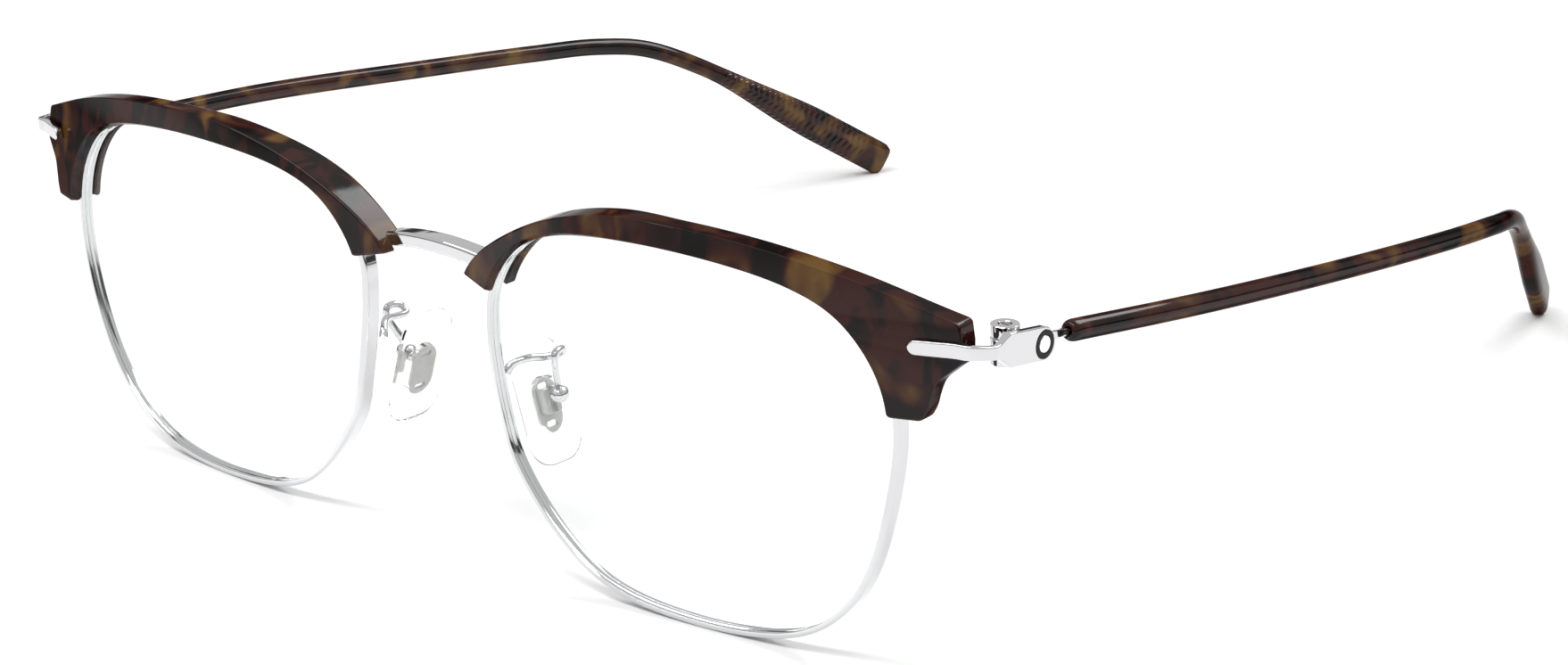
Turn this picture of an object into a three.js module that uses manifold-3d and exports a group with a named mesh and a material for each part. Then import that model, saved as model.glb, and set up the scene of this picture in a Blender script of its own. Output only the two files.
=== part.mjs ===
// Half rim (browline) eyeglasses: acetate brows over thin metal rims, metal bridge, wrapped metal
// end pieces with three-knuckle hinges, acetate temples on a metal core, and nose pads on wire arms.
// Millimetres. +X is the wearer's left, -Y is the front, +Z is up. The glasses stand on the lowest
// point of both rims and on both temple tips.
import * as THREE from 'three';
import { mergeVertices } from 'three/addons/utils/BufferGeometryUtils.js';
import Module from 'manifold-3d';

const wasm = await Module();
wasm.setup();

// ---- driving dimensions -------------------------------------------------------------------
const EYE_X = 36.3;          // from the middle of the bridge to the centre of each eye
const FACE_ANGLE = 3.8;      // degrees that each eye turns back towards its temple
const BASE_RADIUS = 99;      // radius of the curved front of lens, rim and brow
const RIM_WALL = 0.75;       // radial thickness of the metal rim
const RIM_DEPTH = 1.8;       // front to back size of the metal rim
const GROOVE = 0.35;         // depth of the lens groove in the rim
const FIT = 0.1;             // gap between pieces that touch
const BROW_LIP = 1.4;        // thickness of the brow's front wall
const BROW_LIP_NASAL = 1.0;  // the same at its nasal end
const BROW_BEVEL = 0.65;     // bevel along the lens side of the front wall
const BROW_EDGE = 0.3;       // softened top edges
const BROW_REAR = 3.0;       // depth of the brow's rear edge on its lens side
const BROW_REAR_NASAL = 3.9; // the same at its nasal end
const BROW_TOP_REAR = 1.2;   // depth of its rear edge along the top
const BROW_TOP_NASAL = 3.5;  // the same towards its nasal end
const BROW_TOP_END = 2.5;    // the same on the nasal end itself
const BROW_LOBE_REAR = 0.8;  // the same on the lobe
const BROW_CORNER = 0.8;     // share of the brow's length before its outer corner
const CHANNEL_WALL = 0.15;   // gap between the rim and the floor of the brow's channel
const CHANNEL_BACK = 2.3;    // depth at which the brow's rear wall starts
const BAR_THICK = 0.75;      // end piece bar
const BAR_HEIGHT = 1.55;
const PLATE_X = 72.5;        // outer face of the hinge plate
const PLATE_THICK = 0.9;
const PLATE_TILT = 0.14;     // fall of the plate per millimetre towards its end
const PLATE_HEIGHT = 3.6;
const PLATE_END_Y = 16.9;    // centre of the plate's round end
const HINGE = { x: 70.0, y: 13.6, top: 11.9, height: 4.2, radius: 1.5, bore: 0.7 };
const KNUCKLE_GAP = 0.12;
const ROD_RADIUS = 1.1;      // round part of the temple
const PADDLE_WIDTH = 4.7;    // flat end of the temple
const PADDLE_THICK = 2.3;
const PADDLE_START = 124;    // depths where the rod starts to widen and is fully flat
const PADDLE_FULL = 141;
const PAD = { x: 9.8, y: 9.9, z: -8.3, height: 14.2, width: 7.3, thick: 1.5, lean: -17.5 };
const INSERT = { height: 6.3, width: 3.7, thick: 0.45, low: -0.3, y: 0.15, z: -0.5 };
const BALL = { x: 2.55, z: 0.5, radius: 1.15 };
const WIRE_RADIUS = 0.42;    // nose pad arm
const DISC = { y: 16.9, z: 9.3, radius: 1.5, stud: 0.9, depth: 0.4 };
const CORE_DEPTH = 4;        // length of metal core inside the rod
const BRIDGE = {
  halfSpan: 11, height: 1.4, depth: 2.2, front: 3.0, top: 10.2, sag: 0.016, lean: 0.01,
};
const FLOOR_Z = -26.0;       // lowest point of rims and temple tips, from the eye centres
const MIDDLE_Y = 75.2;       // middle of the whole depth, from the front of the rims
const RING_STEPS = 60;       // points round a rim

// Outer edge of a rim, from the temple side, over the top and round. u is towards the temple.
const RIM_OUTLINE = [
  [27.1, 0], [25.9, 6.9], [21.6, 12.5], [15.4, 15.4], [0, 17.1], [-15.7, 15.7], [-22.1, 12.7],
  [-26.3, 7.1], [-26.9, 1.5], [-25.4, -8], [-23.5, -13.5], [-13.6, -23.5], [0, -25.9], [14, -24.3],
  [20.1, -20.1], [24, -13.8],
];
// Upper edge of a brow from its nasal end to its outer corner, and the corner's end and lobe.
const BROW_TOP = [
  [-30.1, 7.6], [-28.9, 9.2], [-25.8, 11.8], [-17.4, 16.2], [-7, 18.8], [2, 19.1], [12, 18.4],
  [22, 16.6], [33.3, 13.2],
];
const BROW_END = [[33.7, 11.2], [33.8, 9.3], [32.5, 8.2], [31.4, 7.1], [30.9, 5.6], [30.6, 4.3], [30, 3]];
// Middle line of the wearer's left temple, from the front of the rod to the tip.
const TEMPLE_LINE = [
  [70.1, 24.5, 8.2], [72.6, 45, 6.3], [73.4, 72, 3.4], [73.2, 95, 1.0], [72.3, 107, -0.3],
  [70.2, 115, -1.9], [66.6, 123.5, -6.0], [61.6, 136, -14.2], [55.5, 150.8, -24.2],
];

// Nose pad arm on the wearer's left, from the back of the rim to the top of the stem.
const ARM_LINE = [
  [9.6, 4.3, -3.5], [10.0, 4.8, -2.7], [11.0, 6.1, -2.1], [11.6, 8.3, -2.4], [11.9, 10.1, -2.5],
  [12.4, 10.3, -2.1], [12.8, 9.7, -1.6], [13.1, 8.4, -1.7], [13.1, 8.3, -2.8],
];

// ---- helpers ------------------------------------------------------------------------------
const toRad = THREE.MathUtils.degToRad;
const vec = (p) => new THREE.Vector3(...p);
const mix = THREE.MathUtils.lerp;
const ease = THREE.MathUtils.smoothstep;

// One closed solid from vertices and triangles, always with its faces pointing out.
function solid(points, faces) {
  const geometry = new THREE.BufferGeometry();
  geometry.setAttribute('position', new THREE.Float32BufferAttribute(points.flat(), 3));
  let volume = 0;
  for (const [a, b, c] of faces) {
    volume += vec(points[a]).dot(vec(points[b]).cross(vec(points[c])));
  }
  geometry.setIndex(faces.flatMap(([a, b, c]) => (volume > 0 ? [a, b, c] : [a, c, b])));
  return geometry;
}

// Joins closed rings of equally many points. A loop joins the last ring to the first; otherwise
// both ends are closed by the triangles of the ring's flat outline.
function loft(rings, loop, outline) {
  const size = rings[0].length;
  const faces = [];
  const spans = loop ? rings.length : rings.length - 1;
  for (let i = 0; i < spans; i++) {
    const here = i * size;
    const next = ((i + 1) % rings.length) * size;
    for (let j = 0; j < size; j++) {
      const k = (j + 1) % size;
      faces.push([here + j, here + k, next + k], [here + j, next + k, next + j]);
    }
  }
  if (!loop) {
    const flat = (outline ?? rings[0].map((_, j) => turned(1, (j / size) * 360)));
    const ends = THREE.ShapeUtils.triangulateShape(flat.map((p) => new THREE.Vector2(...p)), []);
    const last = (rings.length - 1) * size;
    const counterclockwise = THREE.ShapeUtils.area(flat.map((p) => new THREE.Vector2(...p))) > 0;
    for (const [a, b, c] of ends) {
      const [p, q] = counterclockwise ? [b, c] : [c, b];
      faces.push([a, q, p], [last + a, last + p, last + q]);
    }
  }
  return solid(rings.flat(), faces);
}

function turned(radius, degrees) {
  return [radius * Math.cos(toRad(degrees)), radius * Math.sin(toRad(degrees))];
}

// Sweeps a flat section (across, up) along a line of points. "up" stays as near +Z as it can.
function sweep(line, sectionAt, outline) {
  const curve = line.map(vec);
  const rings = curve.map((at, i) => {
    const ahead = curve[Math.min(i + 1, curve.length - 1)].clone()
      .sub(curve[Math.max(i - 1, 0)]).normalize();
    const across = ahead.clone().cross(new THREE.Vector3(0, 0, 1)).normalize();
    const up = across.clone().cross(ahead);
    return sectionAt(i / (curve.length - 1), i).map(([a, b]) =>
      at.clone().addScaledVector(across, a).addScaledVector(up, b).toArray());
  });
  return loft(rings, false, outline);
}

const spline = (points, count, closed = false) => {
  const curve = new THREE.CatmullRomCurve3(points.map(([a, b, c = 0]) => vec([a, b, c])), closed);
  return curve.getSpacedPoints(count).map((p) => p.toArray());
};
const roundSection = (radius, sides) =>
  Array.from({ length: sides }, (_, k) => turned(radius, (k / sides) * 360));
const chamfered = (width, height, size) => {
  const [w, h] = [width / 2, height / 2];
  return [[w - size, -h], [w, size - h], [w, h - size], [w - size, h],
    [size - w, h], [-w, h - size], [-w, size - h], [size - w, -h]];
};
const swell = (value, power) => Math.sign(value) * Math.abs(value) ** power;
// An ellipse at power 1, closer to a rounded rectangle as the power falls.
const squircle = (width, height, sides, power) => Array.from({ length: sides }, (_, k) => {
  const [c, s] = turned(1, (k / sides) * 360);
  return [swell(c, power) * width / 2, swell(s, power) * height / 2];
});

// Maps eye coordinates, u towards the temple, v up and w back from the curved front, to the frame.
function onEye([u, v, w]) {
  const back = w + (u * u + v * v) / (2 * BASE_RADIUS);
  const c = Math.cos(toRad(FACE_ANGLE));
  const s = Math.sin(toRad(FACE_ANGLE));
  return [EYE_X + u * c - back * s, u * s + back * c, v];
}

// Points round the rim at a distance inside its outer edge.
const rimLine = spline(RIM_OUTLINE, RING_STEPS, true).slice(0, RING_STEPS).map(([u, v]) => [u, v]);
function inside(distance, line = rimLine) {
  return line.map(([u, v], i) => {
    const [a, b] = line.at(i - 1);
    const [c, d] = line[(i + 1) % line.length];
    const length = Math.hypot(c - a, d - b);
    return [u - ((d - b) / length) * distance, v + ((c - a) / length) * distance];
  });
}

// Place along the rim line, as a broken index, where it passes a height on the nasal side (-1)
// or the temple side (1).
function rimPlace(side, height) {
  const i = rimLine.findIndex(([u, v], k) =>
    u * side > 0 && (v - height) * (rimLine[(k + 1) % RING_STEPS][1] - height) <= 0);
  const [from, to] = [rimLine[i][1], rimLine[(i + 1) % RING_STEPS][1]];
  return i + (height - from) / (to - from);
}

// ---- joining and cutting ------------------------------------------------------------------
function toManifold(geometry) {
  const bare = geometry.clone();
  bare.deleteAttribute('normal');
  bare.deleteAttribute('uv');
  const merged = mergeVertices(bare, 1e-5);
  return new wasm.Manifold(new wasm.Mesh({
    numProp: 3,
    vertProperties: new Float32Array(merged.attributes.position.array),
    triVerts: new Uint32Array(merged.index.array),
  }));
}
function fromManifold(body) {
  const { vertProperties, triVerts } = body.getMesh();
  const geometry = new THREE.BufferGeometry();
  geometry.setAttribute('position', new THREE.BufferAttribute(vertProperties, 3));
  geometry.setIndex(new THREE.BufferAttribute(triVerts, 1));
  return geometry;
}
const join = (...shapes) => fromManifold(shapes.map(toManifold).reduce((a, b) => a.add(b)));
const cut = (shape, ...tools) =>
  fromManifold(tools.map(toManifold).reduce((a, b) => a.subtract(b), toManifold(shape)));
const box = (x0, x1, y0, y1, z0, z1) =>
  new THREE.BoxGeometry(x1 - x0, y1 - y0, z1 - z0)
    .translate((x0 + x1) / 2, (y0 + y1) / 2, (z0 + z1) / 2);
const post = (x, y, z0, z1, radius, sides = 24) =>
  new THREE.CylinderGeometry(radius, radius, z1 - z0, sides)
    .rotateX(Math.PI / 2).translate(x, y, (z0 + z1) / 2);

// ---- the front: rims, lenses, brows, bridge -----------------------------------------------
function rimShape() {
  const middle = RIM_DEPTH / 2;
  const section = [
    [0, 0], [0, RIM_DEPTH], [RIM_WALL, RIM_DEPTH], [RIM_WALL, middle + GROOVE],
    [RIM_WALL - GROOVE, middle], [RIM_WALL, middle - GROOVE], [RIM_WALL, 0],
  ];
  const lines = section.map(([depth]) => inside(depth));
  const rings = rimLine.map((_, i) => section.map(([, w], j) => onEye([...lines[j][i], w])));
  return loft(rings, true);
}

function lensShape() {
  const middle = RIM_DEPTH / 2;
  const edge = [
    [RIM_WALL + FIT, 0.15], [RIM_WALL + FIT, middle - GROOVE], [RIM_WALL - GROOVE + FIT, middle],
    [RIM_WALL + FIT, middle + GROOVE], [RIM_WALL + FIT, RIM_DEPTH - 0.15],
  ];
  const shrink = [0.55];
  const face = (scale, w) => inside(RIM_WALL + FIT).map(([u, v]) => onEye([u * scale, v * scale, w]));
  const front = edge[0][1];
  const back = edge.at(-1)[1];
  const rings = [
    ...shrink.toReversed().map((scale) => face(scale, front)),
    ...edge.map(([depth, w]) => inside(depth).map(([u, v]) => onEye([u, v, w]))),
    ...shrink.map((scale) => face(scale, back)),
  ];
  const points = [...rings.flat(), onEye([0, 0, front]), onEye([0, 0, back])];
  const faces = [];
  for (let r = 0; r < rings.length - 1; r++) {
    for (let j = 0; j < RING_STEPS; j++) {
      const k = (j + 1) % RING_STEPS;
      const [here, next] = [r * RING_STEPS, (r + 1) * RING_STEPS];
      faces.push([here + j, here + k, next + k], [here + j, next + k, next + j]);
    }
  }
  const last = (rings.length - 1) * RING_STEPS;
  for (let j = 0; j < RING_STEPS; j++) {
    const k = (j + 1) % RING_STEPS;
    faces.push([points.length - 2, k, j], [points.length - 1, last + j, last + k]);
  }
  return solid(points, faces);
}

// The brow runs over the rim from its nasal end to its outer corner and down its lobe. Each
// section is a channel that opens towards the lens and holds the rim.
function browShape() {
  const crown = spline(BROW_TOP, 24);
  const outer = [...crown, ...BROW_END];
  const nasalEnd = rimPlace(-1, 6.9);
  const lobeEnd = rimPlace(1, 3.05);
  const along = (t, distance) => {
    const at = mix(nasalEnd, lobeEnd, t);
    const line = inside(distance);
    const low = Math.floor(at);
    return [0, 1].map((c) => mix(line[low][c], line[low + 1][c], at - low));
  };
  const rings = outer.map(([u, v], i) => {
    const down = i - (crown.length - 1);
    const t = down <= 0 ? (i / (crown.length - 1)) * BROW_CORNER
      : mix(BROW_CORNER, 1, down / BROW_END.length);
    const lens = along(t, RIM_WALL + FIT);
    const bevel = along(t, RIM_WALL + FIT - BROW_BEVEL);
    const floor = along(t, -CHANNEL_WALL);
    const front = -FIT - mix(BROW_LIP_NASAL, BROW_LIP, ease(u, -28, 0));
    const rear = mix(BROW_REAR_NASAL, BROW_REAR, ease(u, -28, 24));
    const nasal = mix(BROW_TOP_NASAL, BROW_TOP_END, ease(-u, 21, 30));
    const ridge = mix(nasal, BROW_TOP_REAR, ease(u, -23, 2));
    const topRear = mix(ridge, BROW_LOBE_REAR, ease(down, 2, 5));
    const reach = Math.hypot(u - floor[0], v - floor[1]);
    const shoulder = [0, 1].map((c) => mix([u, v][c], floor[c], BROW_EDGE / reach));
    return [
      [...bevel, front], [...shoulder, front], [u, v, front + BROW_EDGE],
      [u, v, topRear - BROW_EDGE], [...shoulder, topRear], [...lens, rear],
      [...lens, CHANNEL_BACK], [...floor, CHANNEL_BACK], [...floor, -FIT], [...lens, -FIT],
      [...lens, -FIT - 0.3],
    ].map(onEye);
  });
  const outline = [
    [0.2, 0], [3, 0], [3.4, 0.4], [3.4, 3], [3, 3.4], [0, 5.4], [0, 3.8], [0.9, 3.8], [0.9, 1.4],
    [0, 1.4], [0, 0.9],
  ];
  return cut(loft(rings, false, outline), bridgeSlot(), rivetHole(), rivetSeat());
}

// The rivet runs back through the brow from the end piece bar, with its head in a flat seat.
const [RIVET_X, RIVET_FRONT, RIVET_Z] = onEye([31, 10.75, -FIT - BROW_LIP]);
const RIVET_SEAT = RIVET_FRONT + 2.7;
const alongY = (x, z, y0, y1, radius) =>
  new THREE.CylinderGeometry(radius, radius, y1 - y0, 16).translate(x, (y0 + y1) / 2, z);
const rivetHole = () => alongY(RIVET_X, RIVET_Z, RIVET_FRONT - 3, RIVET_FRONT + 8, 0.6);
const rivetSeat = () => alongY(RIVET_X, RIVET_Z, RIVET_SEAT, RIVET_FRONT + 8, 1.1);
function rivetShape() {
  return join(
    alongY(RIVET_X, RIVET_Z, RIVET_FRONT + 0.35, RIVET_SEAT + 0.4, 0.5),
    alongY(RIVET_X, RIVET_Z, RIVET_SEAT + FIT, RIVET_SEAT + 0.6, 1.0),
  );
}

// The bridge is a flat band, arched a little up and forward, that enters both brows by a slot.
function bridgeLine(count) {
  return Array.from({ length: count + 1 }, (_, i) => {
    const x = mix(-BRIDGE.halfSpan, BRIDGE.halfSpan, i / count);
    const y = BRIDGE.front + BRIDGE.depth / 2 + BRIDGE.lean * x * x;
    return [x, y, BRIDGE.top - BRIDGE.height / 2 - BRIDGE.sag * x * x];
  });
}
function bridgeSlot() {
  const section = chamfered(BRIDGE.depth + 2 * FIT, BRIDGE.height + 2 * FIT, 0.1);
  const line = bridgeLine(20);
  const [x, y, z] = line.at(-1);
  return sweep([...line, [x + 0.4, y, z]], () => section, section);
}
function bridgeShape() {
  const section = chamfered(BRIDGE.depth, BRIDGE.height, 0.15);
  return sweep(bridgeLine(20), () => section, section);
}

// ---- the end pieces and hinges ------------------------------------------------------------
// The bar lies on the brow's face, turns round its corner and widens into the hinge plate.
function barStations() {
  const middle = -FIT - BROW_LIP - FIT - BAR_THICK / 2;
  const onFace = (u, height) => [...onEye([u, 10.8, middle]), BAR_THICK, height];
  const x = PLATE_X - BAR_THICK / 2;
  const plateX = PLATE_X - PLATE_THICK / 2;
  const tilted = (y) => 10.4 - (y - 9.4) * PLATE_TILT;
  const end = [25, 50, 70, 84].map((a) => {
    const y = PLATE_END_Y + (PLATE_HEIGHT / 2) * Math.sin(toRad(a));
    return [plateX, y, tilted(y), PLATE_THICK, PLATE_HEIGHT * Math.cos(toRad(a))];
  });
  return [
    onFace(28.9, 0.6), onFace(29.1, 1.15), onFace(29.6, BAR_HEIGHT), onFace(31.5, BAR_HEIGHT),
    onFace(33.2, BAR_HEIGHT), [70.8, 6.85, 10.75, BAR_THICK, 1.5], [71.7, 8.0, 10.6, BAR_THICK, 1.45],
    [x, 9.1, 10.45, BAR_THICK, 1.45], [x, 9.6, 10.4, BAR_THICK, 1.6],
    [plateX, 11.4, tilted(11.4), PLATE_THICK, PLATE_HEIGHT],
    [plateX, 14, tilted(14), PLATE_THICK, PLATE_HEIGHT],
    [plateX, PLATE_END_Y, tilted(PLATE_END_Y), PLATE_THICK, PLATE_HEIGHT], ...end,
  ];
}
function barShape() {
  const stations = barStations();
  const rings = stations.map(([x, y, z, thick, height], i) => {
    const [x0, y0] = stations[Math.max(i - 1, 0)];
    const [x1, y1] = stations[Math.min(i + 1, stations.length - 1)];
    const length = Math.hypot(x1 - x0, y1 - y0);
    const [nx, ny] = [(y1 - y0) / length, (x0 - x1) / length];
    return chamfered(thick, height, 0.12).map(([a, b]) => [x + nx * a, y + ny * a, z + b]);
  });
  return loft(rings, false, chamfered(1, 1, 0.12));
}
function knuckle(low, high) {
  const profile = [
    [HINGE.bore, low], [HINGE.radius, low], [HINGE.radius, high], [HINGE.bore, high], [HINGE.bore, low],
  ].map(([r, z]) => new THREE.Vector2(r, z));
  return new THREE.LatheGeometry(profile, 18).rotateX(Math.PI / 2)
    .translate(HINGE.x, HINGE.y, 0);
}
const level = (third) => HINGE.top - (HINGE.height * third) / 3;
function endPieceShape() {
  const webFrom = HINGE.x + 0.95;
  const web = (low, high) => box(webFrom, PLATE_X - 0.4, HINGE.y - 0.8, HINGE.y + 0.8, low, high);
  const disc = alongX(DISC.y, DISC.z, PLATE_X - DISC.depth, PLATE_X + 1, DISC.radius + 0.05);
  const plate = join(
    barShape(), knuckle(level(1) + KNUCKLE_GAP, level(0)), web(level(1) + KNUCKLE_GAP, 11.35),
    knuckle(level(3), level(2) - KNUCKLE_GAP), web(8.25, level(2) - KNUCKLE_GAP),
  );
  return cut(plate, disc);
}
const alongX = (y, z, x0, x1, radius, sides = 24) =>
  new THREE.CylinderGeometry(radius, radius, x1 - x0, sides)
    .rotateZ(Math.PI / 2).translate((x0 + x1) / 2, y, z);
function discShape() {
  const [low, high] = [PLATE_X - DISC.depth + FIT, PLATE_X + 0.03];
  return cut(alongX(DISC.y, DISC.z, low, high, DISC.radius - 0.02),
    alongX(DISC.y, DISC.z, low - 1, high + 1, DISC.stud + 0.03));
}
const studShape = () =>
  alongX(DISC.y, DISC.z, PLATE_X - DISC.depth + FIT, PLATE_X + 0.06, DISC.stud - 0.02);
function hingeScrewShape() {
  const shank = post(HINGE.x, HINGE.y, level(3) + 0.15, HINGE.top - 0.12, HINGE.bore - 0.07);
  return cut(shank, box(HINGE.x - 1, HINGE.x + 1, HINGE.y - 0.12, HINGE.y + 0.12,
    HINGE.top - 0.4, HINGE.top + 1));
}

// The temple's own metal: the middle knuckle, a leaf behind the plate and the core in the rod.
function templeHingeShape() {
  const low = level(2) + KNUCKLE_GAP / 2;
  const high = level(1) - KNUCKLE_GAP / 2;
  const leaf = [
    [70.72, 14.5, (low + high) / 2, 0.9, high - low], [70.8, 15.6, 9.65, 0.9, high - low],
    [70.75, 18.5, 9.2, 0.9, 1.2], [70.4, 21, 8.75, 0.85, 1.0], [...rodAt(-1.4), 0.8, 0.85],
    [...rodAt(CORE_DEPTH), 0.8, 0.8],
  ];
  const sizes = leaf.map(([, , , width, height]) => chamfered(width, height, 0.12));
  const strip = sweep(leaf.map((p) => p.slice(0, 3)), (_, i) => sizes[i], chamfered(1, 1, 0.12));
  return join(knuckle(low, high), strip);
}
function rodAt(distance) {
  const [a, b] = [vec(TEMPLE_LINE[0]), vec(TEMPLE_LINE[1])];
  return a.clone().addScaledVector(b.sub(a).normalize(), distance).toArray();
}
function templeShape() {
  const line = spline(TEMPLE_LINE, 38);
  const end = line.length - 1;
  const section = (_, i) => {
    const y = line[i][1];
    const flat = ease(y, PADDLE_START, PADDLE_FULL);
    const closing = [0.86, 0.97][end - i] ?? 1;
    const opening = [0.8, 1][i] ?? 1;
    const thick = mix(2 * ROD_RADIUS, PADDLE_THICK, flat);
    const width = mix(2 * ROD_RADIUS, PADDLE_WIDTH, flat);
    const shrink = closing * opening;
    return squircle(thick * shrink, width * shrink, 12, mix(1, 0.62, flat));
  };
  const rod = sweep([rodAt(-0.35), ...line.slice(1)], section, squircle(1, 1, 12, 1));
  const bore = sweep([rodAt(-1.5), rodAt(CORE_DEPTH + 0.3)], () => roundSection(0.68, 12));
  return cut(rod, bore);
}

// ---- the nose pads ------------------------------------------------------------------------
function padOutline(height, width, corner, inset = 0) {
  const [a, b] = [width / 2 - corner, height / 2 - corner];
  const radius = corner - inset;
  return [[a, b, 0], [-a, b, 90], [-a, -b, 180], [a, -b, 270]].flatMap(([y, z, from]) =>
    [0, 30, 60, 90].map((step) => {
      const [dy, dz] = turned(radius, from + step);
      return [y + dy, z + dz];
    }));
}
const slab = (steps, outlineAt) => loft(
  steps.map(([x, inset]) => outlineAt(inset).map(([y, z]) => [x, y, z])), false, outlineAt(0));
const onPad = (geometry) => geometry.rotateY(toRad(PAD.lean)).translate(PAD.x, PAD.y, PAD.z);
const padPoint = (x, y, z) => new THREE.Vector3(x, y, z)
  .applyAxisAngle(new THREE.Vector3(0, 1, 0), toRad(PAD.lean))
  .add(new THREE.Vector3(PAD.x, PAD.y, PAD.z)).toArray();

// The metal insert is an oval with straight sides, a little low and back on the pad.
const insertOutline = (spare) =>
  padOutline(INSERT.height + 2 * spare, INSERT.width + 2 * spare, INSERT.width / 2 + spare - 0.01)
    .map(([y, z]) => [y + INSERT.y, z + INSERT.z]);
function nosePadShape() {
  const half = PAD.thick / 2;
  const pad = slab([[-half, 0.7], [-half + 0.3, 0.15], [0, 0], [half - 0.3, 0.15], [half, 0.6]],
    (inset) => padOutline(PAD.height, PAD.width, 2.7, inset));
  const pocket = slab([[INSERT.low - FIT, 0], [2, 0]], () => insertOutline(FIT));
  return onPad(cut(pad, pocket));
}
function padInsertShape() {
  const plate = slab([[INSERT.low, 0], [INSERT.low + INSERT.thick, 0]], () => insertOutline(0));
  const clip = box(INSERT.low + 0.2, 1.3, -1.15, 1.15, -1.45, 1.45);
  return onPad(join(plate, clip));
}
// One bent wire from the back of the rim, through a hairpin, ending in a ball beside the clip.
function padArmShape() {
  const ball = padPoint(BALL.x, 0, BALL.z);
  const stem = padPoint(BALL.x + 0.1, 0, BALL.z + 0.8);
  const line = spline([...ARM_LINE, stem], 32);
  const wire = sweepWire(line, roundSection(WIRE_RADIUS, 7));
  const knob = new THREE.SphereGeometry(BALL.radius, 12, 8).scale(0.9, 1, 0.85).translate(...ball);
  return join(wire, knob);
}
// Sweeps a section along any bent line without twisting it.
function sweepWire(points, section) {
  const curve = new THREE.CatmullRomCurve3(points.map(vec));
  const shape = new THREE.Shape(section.map((p) => new THREE.Vector2(...p)));
  const wire = new THREE.ExtrudeGeometry(shape, { steps: 32, extrudePath: curve, bevelEnabled: false });
  return wire;
}

// ---- the whole object ---------------------------------------------------------------------
const group = new THREE.Group();
const paint = (color, roughness, metalness, opacity = 1) => () =>
  new THREE.MeshStandardMaterial({ color, roughness, metalness, opacity, transparent: opacity < 1 });
const finish = {
  silver: paint(0xd9d9d8, 0.12, 1),
  acetate: paint(0x3a201a, 0.15, 0),
  lens: paint(0xf6fafa, 0.03, 0, 0.25),
  pad: paint(0xf4f4f2, 0.1, 0, 0.45),
  black: paint(0x101012, 0.2, 0),
};
function place(name, geometry, material) {
  const mesh = new THREE.Mesh(geometry, material());
  mesh.name = name;
  group.add(mesh);
  return mesh;
}
function mirrored(geometry) {
  const copy = geometry.clone();
  copy.scale(-1, 1, 1);
  const index = Array.from(copy.index.array);
  for (let i = 0; i < index.length; i += 3) [index[i], index[i + 1]] = [index[i + 1], index[i]];
  copy.setIndex(index);
  return copy;
}
function pair(name, geometry, material) {
  place(`${name}_left`, geometry, material);
  place(`${name}_right`, mirrored(geometry), material);
}

pair('rim', rimShape(), finish.silver);
pair('lens', lensShape(), finish.lens);
pair('brow', browShape(), finish.acetate);
place('bridge', bridgeShape(), finish.silver);
pair('end_piece', endPieceShape(), finish.silver);
pair('brow_rivet', rivetShape(), finish.silver);
pair('plate_disc', discShape(), finish.black);
pair('plate_stud', studShape(), finish.silver);
pair('hinge_screw', hingeScrewShape(), finish.silver);
pair('temple_hinge', templeHingeShape(), finish.silver);
pair('temple', templeShape(), finish.acetate);
pair('pad_arm', padArmShape(), finish.silver);
pair('pad_insert', padInsertShape(), finish.silver);
pair('nose_pad', nosePadShape(), finish.pad);

group.position.set(0, -MIDDLE_Y, -FLOOR_Z);
export default group;
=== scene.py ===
"""Browline eyeglasses: acetate brows on metal rims, slim hinged temples and pads on wire arms."""
import math

import bpy
import numpy as np
from mathutils import Matrix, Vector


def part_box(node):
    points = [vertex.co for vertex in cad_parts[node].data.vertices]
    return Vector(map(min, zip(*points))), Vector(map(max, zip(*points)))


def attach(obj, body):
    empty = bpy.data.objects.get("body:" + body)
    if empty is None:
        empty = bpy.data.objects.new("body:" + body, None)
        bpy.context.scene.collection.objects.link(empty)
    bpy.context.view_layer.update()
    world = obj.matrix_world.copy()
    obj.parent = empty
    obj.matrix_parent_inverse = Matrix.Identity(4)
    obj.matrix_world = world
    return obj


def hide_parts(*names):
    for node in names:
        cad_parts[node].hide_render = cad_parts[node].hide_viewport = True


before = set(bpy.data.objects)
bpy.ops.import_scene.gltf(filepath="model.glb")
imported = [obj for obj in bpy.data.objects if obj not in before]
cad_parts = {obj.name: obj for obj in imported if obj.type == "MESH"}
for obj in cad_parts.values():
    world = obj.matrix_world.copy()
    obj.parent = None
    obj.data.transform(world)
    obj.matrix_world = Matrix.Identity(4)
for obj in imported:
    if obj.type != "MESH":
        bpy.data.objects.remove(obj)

bl_info = {
    "name": "Browline Eyeglasses",
    "version": (1, 0, 0),
    "blender": (4, 5, 0),
    "location": "View3D > Sidebar > Eyeglasses",
    "description": "Builds browline eyeglasses piece by piece around their packed frame",
    "category": "Add Mesh",
}

# ---- sizes, in millimetres; x, y and z are counted from the rims' front between the eyes ----
MM = 0.001
FRONT_Y = -75.2       # the rims' front in the frame
EYE_Z = 26.0          # the eye centres' height in the frame
RIM_STEPS = 240
GROOVE = 0.35         # half the height of the lens groove, and its depth
FIT = 0.1             # gap between pieces that touch
BROW_LIP_NASAL = 1.0
BROW_CORNER = 0.8     # share of the brow's length before its outer corner
BROW_REAR = 3.0
BROW_REAR_NASAL = 3.9
BROW_TOP_REAR = 1.2
BROW_TOP_NASAL = 3.5
BROW_TOP_END = 2.5
BROW_LOBE_REAR = 0.8
CHANNEL_WALL = 0.15
CHANNEL_BACK = 2.3
END_ROUND = 0.38      # radius of the brow's two ends
NOTCH = ((4, 3.3, 3), (9, 9, 8.5))   # cut from the brow's rear, under the bridge
RIVET = {"u": 31.0, "v": 10.75, "hole": 0.6, "wide_hole": 1.1, "seat": 2.7}
BRIDGE = {"depth": 2.2, "height": 1.4, "y": 4.1, "z": 9.5, "lean": 0.01, "sag": 0.016}
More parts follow.
